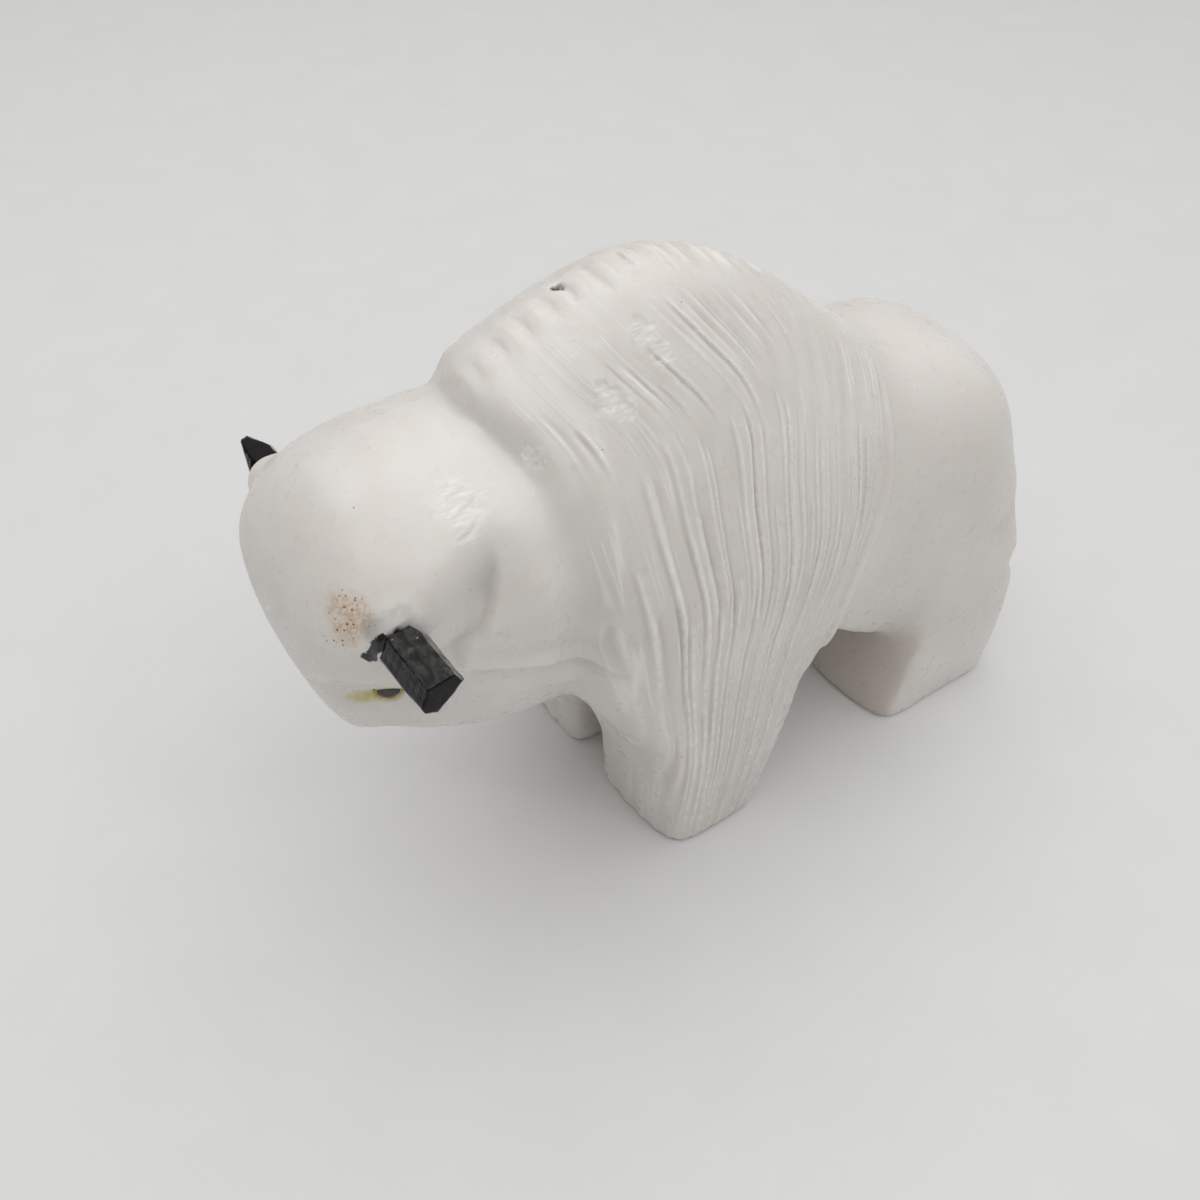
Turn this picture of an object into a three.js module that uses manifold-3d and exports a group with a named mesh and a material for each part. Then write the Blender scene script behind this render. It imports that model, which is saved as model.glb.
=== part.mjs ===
// A small carving of a standing buffalo: one body of white stone, with horns and eyes
// of black stone set in sockets. Millimetres, +Z up. The head points toward -X and the
// animal's left side is toward -Y. The origin is on the ground under the middle.
import * as THREE from 'three';
import { mergeVertices } from 'three/addons/utils/BufferGeometryUtils.js';
import Module from 'manifold-3d';

const wasm = await Module();
wasm.setup();

// Driving dimensions
const LENGTH = 128;
const HORN_REACH = 8.9;
const HORN_BASE = 7.0;
const HORN_SOCKET = 3.2;
const LEFT_HORN_TIP = 6.2;
const RIGHT_HORN_TIP = 2.0;
const EYE_DIAMETER = 3.0;
const EYE_SOCKET = 1.6;
const EYE_STAND = 0.2;
const INLAY_GAP = 0.3;
const MANE_STEP = 1.0;
const LOCK_DEPTH = 0.6;
const CREST_NOTCH = 0.9;
const LOCKS = 15;
const NOTCHES = 17;
const BODY_TRIANGLES = 9000;

// The figure's pose and proportions are drawn in shares of its length, with x counted
// from the front of the forefeet. Depths of carving are turned into the same shares.
const SHARES = 104.5;
const UNIT = LENGTH / SHARES;
const MIDDLE = 13.4;
const millimetres = ([x, y, z]) => [(x - MIDDLE) * UNIT, y * UNIT, z * UNIT];
const STEP = MANE_STEP / UNIT;
const LOCK = LOCK_DEPTH / UNIT;
const NOTCH = CREST_NOTCH / UNIT;

const { lerp, smoothstep, clamp } = THREE.MathUtils;

// A smooth curve through a few points [at, value], read back as value(at)
function profile(points) {
  const curve = new THREE.SplineCurve(points.map(([at, value]) => new THREE.Vector2(at, value)));
  const first = points[0][0];
  const last = points[points.length - 1][0];
  const cells = 240;
  const traced = curve.getPoints(cells * 2);
  const table = new Float64Array(cells + 1);
  let k = 0;
  for (let i = 0; i <= cells; i++) {
    const at = lerp(first, last, i / cells);
    while (k < traced.length - 2 && traced[k + 1].x < at) k++;
    const share = clamp((at - traced[k].x) / (traced[k + 1].x - traced[k].x), 0, 1);
    table[i] = lerp(traced[k].y, traced[k + 1].y, share);
  }
  return (at) => {
    const place = clamp((at - first) / (last - first), 0, 1) * cells;
    const cell = Math.min(Math.floor(place), cells - 1);
    return lerp(table[cell], table[cell + 1], place - cell);
  };
}

// A form is a function of a point, below zero inside the stone. Two forms are joined
// with a fillet, or one is trimmed by another with its new edge rounded.
function blend(a, b, radius) {
  const h = Math.max(radius - Math.abs(a - b), 0) / radius;
  return Math.min(a, b) - (h * h * radius) / 4;
}
const trim = (a, b, radius) => -blend(-a, -b, radius);

// A block whose faces are all below zero inside it, with its edges sanded round
function sanded(faces, radius) {
  let sum = 0;
  for (const face of faces) sum += Math.exp(face / radius);
  return radius * Math.log(sum);
}

// Torso: rib sections from the neck to the rump, with a pointed arch at the hump. Below, the
// belly is cut off flat, and the cut slopes down from the forelegs to the hind legs.
const BACK = profile([[-24, 62], [-18, 68], [-12, 73.3], [-6, 76.7], [2, 79.2], [8, 79.8], [14, 78.3],
  [22, 74.2], [31, 67.3], [38, 61.6], [44, 57.8], [51, 56.6], [57, 54.4], [62, 49.6], [68, 41]]);
const GIRTH = profile([[-24, 16], [-14, 18.5], [-6, 20.5], [5, 22], [20, 21.5], [30, 20], [40, 19],
  [52, 19.8], [60, 19.4], [68, 17]]);
const WIDEST = profile([[-24, 50], [-10, 48], [5, 42], [20, 40], [40, 36], [52, 34], [68, 32]]);
const UNDER = profile([[-24, 34], [-12, 30], [0, 24], [16, 20], [24, 15.5], [34, 9], [44, 9], [56, 14],
  [68, 18]]);
const ARCH = profile([[-24, 1.9], [-12, 1.7], [4, 1.65], [24, 1.7], [38, 2.0], [50, 2.4], [68, 2.4]]);
const BELLY_ROUND = 2.6;
const ROOF = profile([[-24, 33], [-12, 28], [0, 23], [12, 23], [20, 27], [26, 27], [34, 20.8], [42, 14.8],
  [50, 16], [56, 21], [68, 24]]);
const ROOF_EDGE = 1.2;
const CHEST = profile([[0, 4], [14, -2], [24, -7], [33, -9], [44, -10.5], [57, -13], [66, -15], [80, -19]]);
const CHEST_ROUND = 3;
const RUMP = 65;
const RUMP_ROUND = 7.5;
const HALF_BODY = 20;

function torso(x, y, z) {
  const half = GIRTH(x);
  const middle = WIDEST(x);
  const above = z > middle;
  const rise = above ? BACK(x) - middle : middle - UNDER(x);
  const power = above ? ARCH(x) : BELLY_ROUND;
  const across = Math.abs(y) / half;
  const up = Math.abs(z - middle) / rise;
  const round = Math.pow(Math.pow(across, power) + Math.pow(up, power), 1 / power);
  const ribs = (round - 1) * Math.min(half, rise);
  const aside = Math.abs(y) / HALF_BODY;
  const rump = x - RUMP + RUMP_ROUND * Math.pow(aside, 2.4);
  const chest = CHEST(z) - x + CHEST_ROUND * Math.pow(aside, 2);
  return trim(trim(trim(ribs, rump, 7), chest, 5), ROOF(x) - z, ROOF_EDGE);
}

// Head and neck: a blunt wedge, domed above and narrowing to the muzzle below
const FACE = profile([[22, -24], [27, -30], [31, -32.8], [37, -35.6], [45, -37.9], [52, -38.8], [58, -38.2],
  [63, -36], [70, -31]]);
const CHEEK = profile([[22, 3.6], [27, 4.4], [31, 5.2], [38, 7.8], [45, 11.5], [50, 14.7], [56, 17.5],
  [61, 17.8], [70, 16]]);
const NECK = profile([[22, 6.5], [30, 9.5], [36, 12.4], [43, 15.2], [50, 17.1], [57, 17.8], [63, 17.4],
  [70, 16]]);
const CROWN = profile([[-42, 57], [-38, 61], [-34, 64.4], [-30, 66.6], [-24, 68.1], [-18, 68.0], [-10, 67],
  [0, 66]]);
const JAW = profile([[-42, 37], [-35, 32.1], [-31, 32.5], [-26.5, 32.4], [-22, 31.3], [-12, 31], [4, 30]]);
const TEMPLE = -20;
const BLUNTNESS = 3.2;
const CROWN_ROUND = 8.5;

function head(x, y, z) {
  const side = lerp(CHEEK(z), NECK(z), smoothstep(x, -33, -17));
  const reach = TEMPLE - FACE(z);
  const ahead = Math.max(TEMPLE - x, 0) / reach;
  const across = Math.abs(y) / side;
  const round = Math.pow(Math.pow(ahead, BLUNTNESS) + Math.pow(across, BLUNTNESS), 1 / BLUNTNESS);
  const plan = (round - 1) * Math.min(side, reach) * 0.92;
  const dome = (z - CROWN(x) + CROWN_ROUND * Math.pow(Math.abs(y) / 17, 2.2)) * 0.82;
  return trim(trim(trim(plan, dome, 3.5), JAW(x) - z, 3), x, 4);
}

// Beard: a thinner wedge under the jaw, deeper toward the chest
const BEARD_SIDE = profile([[22, 4.2], [27, 7.2], [31, 9.8], [36, 12.2], [43, 14.6], [50, 15]]);
const BEARD_EDGE = profile([[-34, 31], [-28, 30], [-20, 28.5], [-12, 26.5], [-4, 25], [4, 25]]);
const BEARD = { front: -27.5, rear: -2, top: 46, lift: 7 };
const SANDING = 1.3;

function beard(x, y, z) {
  const lift = BEARD.lift * smoothstep(-x, 11, 29);
  const faces = [Math.abs(y) - BEARD_SIDE(z - lift), BEARD_EDGE(x) - z, z - BEARD.top, x - BEARD.rear,
    BEARD.front - x];
  return sanded(faces, SANDING);
}

// Legs: four straight-sided posts, the forelegs leaning forward under the mane
const FORELEG = {
  front: profile([[-6, 0], [0, 0], [12, -0.8], [22, -4], [33, -8.5], [50, -11]]),
  rear: profile([[-6, 15.5], [0, 17.5], [12, 20.6], [31, 24.4], [50, 29]]),
  outer: profile([[-6, 20.2], [0, 20.3], [20, 21.2], [32, 20.8], [42, 18.5], [50, 15]]),
  inner: 2.5,
  top: 48,
};
const HINDLEG = {
  front: profile([[-6, 38.8], [0, 39.2], [10, 41], [20, 43], [40, 46]]),
  rear: profile([[-6, 63.8], [0, 64.2], [8, 65.6], [18, 65.4], [22, 63.8], [28, 62.3], [36, 61.5],
    [44, 58]]),
  outer: profile([[-6, 20.2], [0, 20.3], [16, 20.6], [28, 20.0], [38, 17.5], [46, 14]]),
  inner: 3,
  top: 44,
};

const CORNER_ROUND = 1.6;
const BELOW_GROUND = -6;

function leg(shape, x, y, z) {
  const aside = Math.abs(y);
  const turn = CORNER_ROUND * Math.pow(aside / HALF_BODY, 4);
  const faces = [shape.front(z) + turn - x, x + turn - shape.rear(z), aside - shape.outer(z),
    shape.inner - aside, z - shape.top, BELOW_GROUND - z];
  return sanded(faces, SANDING);
}

// How far a point is from a rod between two points, whose radius changes along it
function rod(p, q, start, end, x, y, z) {
  const [dx, dy, dz] = [q.x - p.x, q.y - p.y, q.z - p.z];
  const along = ((x - p.x) * dx + (y - p.y) * dy + (z - p.z) * dz) / (dx * dx + dy * dy + dz * dz);
  const t = clamp(along, 0, 1);
  return Math.hypot(x - p.x - t * dx, y - p.y - t * dy, z - p.z - t * dz) - lerp(start, end, t);
}

// Trunk and legs, before the finer forms are added
function trunk(x, y, z) {
  const d = blend(torso(x, y, z), leg(FORELEG, x, y, z), 4);
  return blend(d, leg(HINDLEG, x, y, z), 3);
}

// Tail: a low ridge laid against the left haunch, from the middle of the rump to the hock,
// where it is thinner
const TAIL_LINE = [[62, 0, 49], [64, -6, 44], [62, -13, 37], [61, -17.2, 30], [57, -19.8, 24.5],
  [50.5, -20.2, 20]];
const TAIL_RAISE = 2.0;
const TAIL_WIDTH = 2.1;
const TAIL_THIN = 0.45;
const TAIL_BOX = new THREE.Box3(new THREE.Vector3(44, -30, 14), new THREE.Vector3(72, 6, 54));
const tail = new THREE.CatmullRomCurve3(TAIL_LINE.map((p) => new THREE.Vector3(...p))).getPoints(24)
  .map((p) => new THREE.Vector3(...pulled(trunk, p.toArray(), 12)));

function tailRaise(x, y, z) {
  if (!TAIL_BOX.containsPoint({ x, y, z })) return 0;
  let nearest = Infinity;
  for (let i = 0; i < tail.length - 1; i++) {
    nearest = Math.min(nearest, rod(tail[i], tail[i + 1], 0, 0, x, y, z));
  }
  const thinned = lerp(TAIL_THIN, 1, smoothstep(z, 19, 34));
  return TAIL_RAISE * thinned * Math.exp(-Math.pow(nearest / TAIL_WIDTH, 2));
}

// Hollows, the same on both sides: a trough behind the horn and the socket of the eye
const HOLLOWS = [
  { from: new THREE.Vector3(-27, 19.4, 52), to: new THREE.Vector3(-20.4, 18.6, 62.5), radius: 3.8 },
  { from: new THREE.Vector3(-35.5, 10.5, 44.4), to: new THREE.Vector3(-29.5, 13.0, 44.1), radius: 3.0 },
];
const hollow = ({ from, to, radius }, x, y, z) => rod(from, to, radius, radius, x, Math.abs(y), z);

// Crease under the cheek, from behind the eye back to the shoulder
const CREASE = profile([[-28, 50.5], [-24, 50], [-17.5, 47.6], [-10, 43.2], [-6, 41]]);
const CREASE_DEPTH = 0.8;
const CREASE_WIDTH = 1.5;

function creaseDepth(x, z) {
  const along = smoothstep(x, -28, -23) * (1 - smoothstep(x, -9, -6));
  return CREASE_DEPTH * Math.exp(-Math.pow((z - CREASE(x)) / CREASE_WIDTH, 2)) * along;
}

// Mane: its locks fan out from the forelegs to the crest, between a front and a rear line
const MANE_FRONT = profile([[-6, -8], [0, -8], [14, -8.6], [30, -9.8], [46, -11], [58, -12.4], [67, -13],
  [74, -16], [86, -20]]);
const MANE_REAR = profile([[-6, 18.4], [0, 18.4], [12, 21.4], [24, 23.6], [31, 24.6], [36, 26], [41, 29],
  [48, 33], [56, 36], [61, 39.4], [66, 43], [86, 54]]);

// The share of the way from the front line to the rear line; on the front of a foreleg
// the locks turn inward, so a step aside there counts as part of a step forward.
const INWARD = { from: 19, share: 0.45 };

function maneShare(x, y, z) {
  const inward = Math.max(INWARD.from - Math.abs(y), 0) * (1 - smoothstep(z, 12, 22));
  const front = MANE_FRONT(z);
  return (x - INWARD.share * inward - front) / (MANE_REAR(z) - front);
}

// A row of cuts, one for each whole number, sharp below and round between
const cut = (place) => 1 - Math.sqrt(Math.sin(Math.PI * place) ** 2 + 0.01);

// The flank lies a step below the mane's rear line. The locks are cut on the outer side
// of the legs, round the feet and over the shoulder, and stop short of the crest.
const LOCK_WAVE = 0.22;

function maneDepth(x, y, z) {
  const share = maneShare(x, y, z);
  const aside = Math.abs(y);
  const flank = STEP * smoothstep(share, 1, 1.03) * Math.exp(-Math.max(share - 1, 0) * 3.2);
  const within = smoothstep(share, 0.01, 0.06) * (1 - smoothstep(share, 0.97, 1));
  const outer = smoothstep(aside, 14, 17.5);
  const foot = smoothstep(aside, 3, 6) * (1 - smoothstep(z, 9, 16));
  const shoulder = smoothstep(z, 50, 58);
  const belowCrest = smoothstep(BACK(x) - z, 2.5, 6.5);
  const wave = LOCK_WAVE * Math.sin(z * 0.13 + 1);
  const carved = within * Math.min(outer + foot + shoulder, 1) * belowCrest;
  return flank + LOCK * cut(share * LOCKS + wave) * carved;
}

// The shallow valley between the neck and the shoulder
const VALLEY_DEPTH = 0.9;
const VALLEY_WIDTH = 2.4;

function neckDepth(x, z) {
  const along = smoothstep(z, 36, 46) * (1 - smoothstep(z, 66, 74));
  return VALLEY_DEPTH * Math.exp(-Math.pow((x - MANE_FRONT(z)) / VALLEY_WIDTH, 2)) * along;
}

// Notches across the crest of the hump
const CREST = { from: -13, to: 37, width: 3.4 };

function crestDepth(x, y, z) {
  const share = (x - CREST.from) / (CREST.to - CREST.from);
  if (share < 0 || share > 1) return 0;
  const onRidge = Math.exp(-Math.pow(y / CREST.width, 2)) * smoothstep(z - BACK(x), -6, -2);
  return NOTCH * cut(share * NOTCHES) * onRidge;
}

// The whole animal in one piece of stone, cut off flat at the ground
function animal(x, y, z) {
  let d = blend(trunk(x, y, z), beard(x, y, z), 1.5);
  d = blend(d, head(x, y, z), 2.5);
  for (const place of HOLLOWS) d = trim(d, -hollow(place, x, y, z), 4);
  d += maneDepth(x, y, z) + crestDepth(x, y, z) + creaseDepth(x, z) + neckDepth(x, z) - tailRaise(x, y, z);
  return trim(d, -z, 0.8);
}

// A closed skin on a form: one point in each grid cell that the surface crosses, pulled
// onto the surface. The grid's first axis is warped so that it follows the mane's fan.
function skin(form, place, along, across, up) {
  const [nx, ny, nz] = [along.length, across.length, up.length];
  const id = (i, j, k) => (i * ny + j) * nz + k;
  const value = new Float64Array(nx * ny * nz);
  const at = new Float64Array(nx * nz);
  for (let i = 0; i < nx; i++) {
    for (let k = 0; k < nz; k++) {
      at[i * nz + k] = place(along[i], up[k]);
      for (let j = 0; j < ny; j++) value[id(i, j, k)] = form(at[i * nz + k], across[j], up[k]);
    }
  }
  const edges = [];
  for (let a = 0; a < 8; a++) {
    for (const bit of [1, 2, 4]) if (!(a & bit)) edges.push([a, a | bit]);
  }
  const cellPoint = new Int32Array(nx * ny * nz).fill(-1);
  const points = [];
  for (let i = 0; i < nx - 1; i++) {
    for (let j = 0; j < ny - 1; j++) {
      for (let k = 0; k < nz - 1; k++) {
        const sum = [0, 0, 0];
        let crossings = 0;
        for (const [a, b] of edges) {
          const [ia, ja, ka] = [i + (a >> 2), j + ((a >> 1) & 1), k + (a & 1)];
          const [ib, jb, kb] = [i + (b >> 2), j + ((b >> 1) & 1), k + (b & 1)];
          const va = value[id(ia, ja, ka)];
          const vb = value[id(ib, jb, kb)];
          if (va < 0 === vb < 0) continue;
          const share = va / (va - vb);
          crossings++;
          sum[0] += lerp(at[ia * nz + ka], at[ib * nz + kb], share);
          sum[1] += lerp(across[ja], across[jb], share);
          sum[2] += lerp(up[ka], up[kb], share);
        }
        if (!crossings) continue;
        cellPoint[id(i, j, k)] = points.length;
        points.push(pulled(form, sum.map((s) => s / crossings), 2));
      }
    }
  }
  const faces = [];
  const quad = (a, b, c, d, flip) => {
    const [p, q, r, s] = [a, b, c, d].map((n) => cellPoint[n]);
    if (flip) faces.push([s, r, q], [s, q, p]);
    else faces.push([p, q, r], [p, r, s]);
  };
  for (let i = 1; i < nx - 1; i++) {
    for (let j = 1; j < ny - 1; j++) {
      for (let k = 1; k < nz - 1; k++) {
        const inside = value[id(i, j, k)] < 0;
        if (inside !== value[id(i + 1, j, k)] < 0) {
          quad(id(i, j - 1, k - 1), id(i, j, k - 1), id(i, j, k), id(i, j - 1, k), !inside);
        }
        if (inside !== value[id(i, j + 1, k)] < 0) {
          quad(id(i - 1, j, k - 1), id(i - 1, j, k), id(i, j, k), id(i, j, k - 1), !inside);
        }
        if (inside !== value[id(i, j, k + 1)] < 0) {
          quad(id(i - 1, j - 1, k), id(i, j - 1, k), id(i, j, k), id(i - 1, j, k), !inside);
        }
      }
    }
  }
  return { points, faces };
}

// A point moved onto the surface of a form, down its slope
function pulled(form, point, turns) {
  const nudge = 0.05;
  const furthest = 0.3;
  let [x, y, z] = point;
  for (let turn = 0; turn < turns; turn++) {
    const here = form(x, y, z);
    const slope = [form(x + nudge, y, z) - here, form(x, y + nudge, z) - here, form(x, y, z + nudge) - here];
    const steepness = Math.hypot(...slope) / nudge;
    if (steepness < 0.1) break;
    const move = clamp(here / steepness, -furthest, furthest) / (steepness * nudge);
    x -= slope[0] * move;
    y -= slope[1] * move;
    z -= slope[2] * move;
  }
  return [x, y, z];
}

// Fewer triangles where the stone is smooth: the edge whose loss moves the surface least
// goes first, as long as the skin stays closed and no triangle turns over
function simplified({ points, faces }, target) {
  const around = points.map(() => new Set());
  faces.forEach((face, f) => face.forEach((v) => around[v].add(f)));
  const errors = points.map(() => new Float64Array(10));
  for (const face of faces) {
    const [n, area] = normal(...face.map((v) => points[v]));
    const p = points[face[0]];
    const plane = [...n, -(n[0] * p[0] + n[1] * p[1] + n[2] * p[2])];
    for (const v of face) {
      let m = 0;
      for (let r = 0; r < 4; r++) {
        for (let c = r; c < 4; c++) errors[v][m++] += plane[r] * plane[c] * area;
      }
    }
  }
  const stamp = new Int32Array(points.length);
  const heap = new Heap();
  const offer = (a, b) => heap.push({ a, b, sa: stamp[a], sb: stamp[b], ...merged(a, b) });
  const merged = (a, b) => {
    const q = errors[a].map((e, m) => e + errors[b][m]);
    const [pa, pb] = [points[a], points[b]];
    const length = (pa[0] - pb[0]) ** 2 + (pa[1] - pb[1]) ** 2 + (pa[2] - pb[2]) ** 2;
    const best = flattest(q) ?? pa;
    const mid = pa.map((v, c) => (v + pb[c]) / 2);
    const away = Math.hypot(...best.map((v, c) => v - mid[c]));
    const options = away * away < length ? [best] : [pa, pb, mid];
    let [to, cost] = [null, Infinity];
    for (const option of options) {
      const c = errorAt(q, option);
      if (c < cost) [to, cost] = [option, c];
    }
    return { to, cost: cost + 2e-5 * length * length };
  };
  const neighbours = (v) => new Set([...around[v]].flatMap((f) => faces[f]).filter((w) => w !== v));
  const allowed = ({ a, b, to }) => {
    const next = neighbours(b);
    let shared = 0;
    for (const v of neighbours(a)) if (next.has(v)) shared++;
    if (shared !== 2) return false;
    for (const [v, other] of [[a, b], [b, a]]) {
      for (const f of around[v]) {
        if (faces[f].includes(other)) continue;
        const before = faces[f].map((w) => points[w]);
        const after = faces[f].map((w) => (w === v ? to : points[w]));
        const [n, area] = normal(...before);
        const [m, newArea] = normal(...after);
        if (n[0] * m[0] + n[1] * m[1] + n[2] * m[2] < 0.3 || newArea < area * 1e-3) return false;
      }
    }
    return true;
  };
  let left = faces.length;
  faces.forEach(([a, b, c]) => [[a, b], [b, c], [c, a]].forEach(([p, q]) => p < q && offer(p, q)));
  while (left > target && heap.size) {
    const edge = heap.pop();
    const { a, b, to } = edge;
    if (edge.sa !== stamp[a] || edge.sb !== stamp[b] || !allowed(edge)) continue;
    for (const f of [...around[b]]) {
      if (faces[f].includes(a)) {
        for (const v of faces[f]) around[v].delete(f);
        left--;
      } else {
        faces[f] = faces[f].map((v) => (v === b ? a : v));
        around[a].add(f);
      }
    }
    points[a] = to;
    errors[a] = errors[a].map((e, m) => e + errors[b][m]);
    around[b].clear();
    stamp[a]++;
    stamp[b]++;
    for (const v of neighbours(a)) offer(a, v);
  }
  const kept = new Map();
  const index = [];
  faces.forEach((face, f) => {
    if (!around[face[0]].has(f)) return;
    for (const v of face) {
      if (!kept.has(v)) kept.set(v, kept.size);
      index.push(kept.get(v));
    }
  });
  return { points: [...kept.keys()].map((v) => points[v]), index };
}

// A triangle's normal and area
function normal(a, b, c) {
  const [ux, uy, uz] = [b[0] - a[0], b[1] - a[1], b[2] - a[2]];
  const [vx, vy, vz] = [c[0] - a[0], c[1] - a[1], c[2] - a[2]];
  const n = [uy * vz - uz * vy, uz * vx - ux * vz, ux * vy - uy * vx];
  const size = Math.hypot(...n) || 1e-12;
  return [n.map((v) => v / size), size / 2];
}

// The sum of squared distances from a point to the planes gathered in q
function errorAt(q, [x, y, z]) {
  return q[0] * x * x + q[4] * y * y + q[7] * z * z + q[9]
    + 2 * (q[1] * x * y + q[2] * x * z + q[5] * y * z + q[3] * x + q[6] * y + q[8] * z);
}

// The point with the least error, or nothing where the planes leave it open
function flattest(q) {
  const [a, b, c, d, e, f, g, h, i] = [q[0], q[1], q[2], q[3], q[4], q[5], q[6], q[7], q[8]];
  const determinant = a * (e * h - f * f) - b * (b * h - f * c) + c * (b * f - e * c);
  if (Math.abs(determinant) < 1e-7) return null;
  const x = -(d * (e * h - f * f) - b * (g * h - f * i) + c * (g * f - e * i)) / determinant;
  const y = -(a * (g * h - i * f) - d * (b * h - f * c) + c * (b * i - g * c)) / determinant;
  const z = -(a * (e * i - f * g) - b * (b * i - g * c) + d * (b * f - e * c)) / determinant;
  return [x, y, z];
}

// A queue that always gives the cheapest edge first
class Heap {
  items = [];
  get size() {
    return this.items.length;
  }
  push(item) {
    const list = this.items;
    let n = list.length;
    list.push(item);
    while (n > 0) {
      const parent = (n - 1) >> 1;
      if (list[parent].cost <= item.cost) break;
      list[n] = list[parent];
      n = parent;
    }
    list[n] = item;
  }
  pop() {
    const list = this.items;
    const top = list[0];
    const item = list.pop();
    if (!list.length) return top;
    let n = 0;
    for (;;) {
      let child = 2 * n + 1;
      if (child >= list.length) break;
      if (child + 1 < list.length && list[child + 1].cost < list[child].cost) child++;
      if (list[child].cost >= item.cost) break;
      list[n] = list[child];
      n = child;
    }
    list[n] = item;
    return top;
  }
}

// The body's mesh in millimetres. Its grid takes even steps in three stretches: ahead of
// the mane, along it with a few to each lock, and behind it.
const REACH = { front: -44, rear: 72, ground: -3, top: 84, side: 26.4 };
const STEPS = { ahead: 26, lock: 5, behind: 40, across: 44, up: 72 };
const steps = (from, to, count) => Array.from({ length: count + 1 }, (_, i) => lerp(from, to, i / count));

function bodyGeometry() {
  const along = [...steps(-1, 0, STEPS.ahead), ...steps(0, 1, LOCKS * STEPS.lock).slice(1),
    ...steps(1, 2, STEPS.behind).slice(1)];
  const across = steps(-REACH.side, REACH.side, STEPS.across);
  const place = (share, z) => {
    if (share < 0) return lerp(REACH.front, MANE_FRONT(z), share + 1);
    if (share > 1) return lerp(MANE_REAR(z), REACH.rear, share - 1);
    return lerp(MANE_FRONT(z), MANE_REAR(z), share);
  };
  const dense = skin(animal, place, along, across, steps(REACH.ground, REACH.top, STEPS.up));
  const { points, index } = simplified(dense, BODY_TRIANGLES);
  const nearGround = 0.12;
  const flattened = ([x, y, z]) => [x, y, Math.abs(z) < nearGround ? 0 : z];
  const geometry = new THREE.BufferGeometry();
  const corners = points.flatMap((point) => millimetres(flattened(point)));
  geometry.setAttribute('position', new THREE.Float32BufferAttribute(corners, 3));
  geometry.setIndex(index);
  return geometry;
}

// Inlays of black stone, each in a socket that is larger all round by the inlay gap.
// They are drawn along +Y, which becomes the way out of the stone.
const HORN_SIDES = 7;
const HORN_CHIPS = 0.05;
const EYE_SIDES = 24;

// Horn: a knapped stub, whose far end is blunt on the left side and pointed on the right
function hornGeometry(tip, side) {
  const taper = [[0, 1], [0.3, 0.93], [0.72, 0.45], [1, 0]];
  const shown = taper.map(([at, share]) => [at * HORN_REACH, lerp(tip, HORN_BASE, share) / 2]);
  return prism([[-HORN_SOCKET, HORN_BASE / 2], ...shown], side);
}

function hornSocket(side) {
  const radius = HORN_BASE / 2 + INLAY_GAP;
  return prism([[-HORN_SOCKET - INLAY_GAP, radius], [HORN_REACH, radius]], side);
}

// A closed prism through stations [height, radius], with its sides chipped unevenly
function prism(stations, side) {
  const rings = stations.length - 1;
  const geometry = new THREE.CylinderGeometry(1, 1, rings, HORN_SIDES, rings);
  const position = geometry.attributes.position;
  for (let n = 0; n < position.count; n++) {
    const [x, z] = [position.getX(n), position.getZ(n)];
    const [height, radius] = stations[Math.round(position.getY(n) + rings / 2)];
    const chipped = 1 - HORN_CHIPS * (1 + Math.sin(2 * Math.atan2(z, side * x) + 0.6));
    position.setXYZ(n, x * radius * chipped, height, z * radius * chipped);
  }
  return geometry;
}

// Eye: a disc set nearly flush, its rim eased
function eyeGeometry() {
  const radius = EYE_DIAMETER / 2;
  const outline = [[0, -EYE_SOCKET], [radius, -EYE_SOCKET], [radius, 0], [radius * 0.75, EYE_STAND * 0.6],
    [0, EYE_STAND]];
  return new THREE.LatheGeometry(outline.map(([x, y]) => new THREE.Vector2(x, y)), EYE_SIDES);
}

function eyeSocket() {
  const depth = EYE_SOCKET + INLAY_GAP;
  const out = EYE_DIAMETER;
  const radius = EYE_DIAMETER / 2 + INLAY_GAP;
  const bore = new THREE.CylinderGeometry(radius, radius, depth + out, EYE_SIDES);
  return bore.translate(0, (out - depth) / 2, 0);
}

// Where an inlay goes: a point in shares is moved onto the stone, and +Y turned outward
const HORN_PLACE = [-31.1, 16.4, 57.05];
const EYE_PLACE = [-31.5, 10, 43.4];

function seat([x, y, z], side, outward) {
  const point = pulled(animal, [x, y * side, z], 20);
  const axis = (outward ?? slope(animal, point)).normalize();
  const up = new THREE.Vector3(0, 0, 1).projectOnPlane(axis).normalize();
  const turn = new THREE.Matrix4().makeBasis(axis.clone().cross(up), axis, up);
  return turn.setPosition(...millimetres(point));
}

function slope(form, [x, y, z]) {
  const nudge = 0.3;
  return new THREE.Vector3(form(x + nudge, y, z) - form(x - nudge, y, z),
    form(x, y + nudge, z) - form(x, y - nudge, z), form(x, y, z + nudge) - form(x, y, z - nudge));
}

// Meshes as solids, to be cut
function solid(geometry) {
  const bare = geometry.clone();
  bare.deleteAttribute('normal');
  bare.deleteAttribute('uv');
  const merged = mergeVertices(bare, 1e-4);
  return new wasm.Manifold(new wasm.Mesh({
    numProp: 3,
    vertProperties: new Float32Array(merged.attributes.position.array),
    triVerts: new Uint32Array(merged.index.array),
  }));
}

function meshGeometry(manifold) {
  const { vertProperties, triVerts } = manifold.getMesh();
  const geometry = new THREE.BufferGeometry();
  geometry.setAttribute('position', new THREE.BufferAttribute(new Float32Array(vertProperties), 3));
  geometry.setIndex(new THREE.BufferAttribute(new Uint32Array(triVerts), 1));
  geometry.computeVertexNormals();
  return geometry;
}

const whiteStone = new THREE.MeshStandardMaterial({ color: 0xece9e4, roughness: 0.35, metalness: 0 });
const blackStone = new THREE.MeshStandardMaterial({ color: 0x121212, roughness: 0.25, metalness: 0 });

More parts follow.
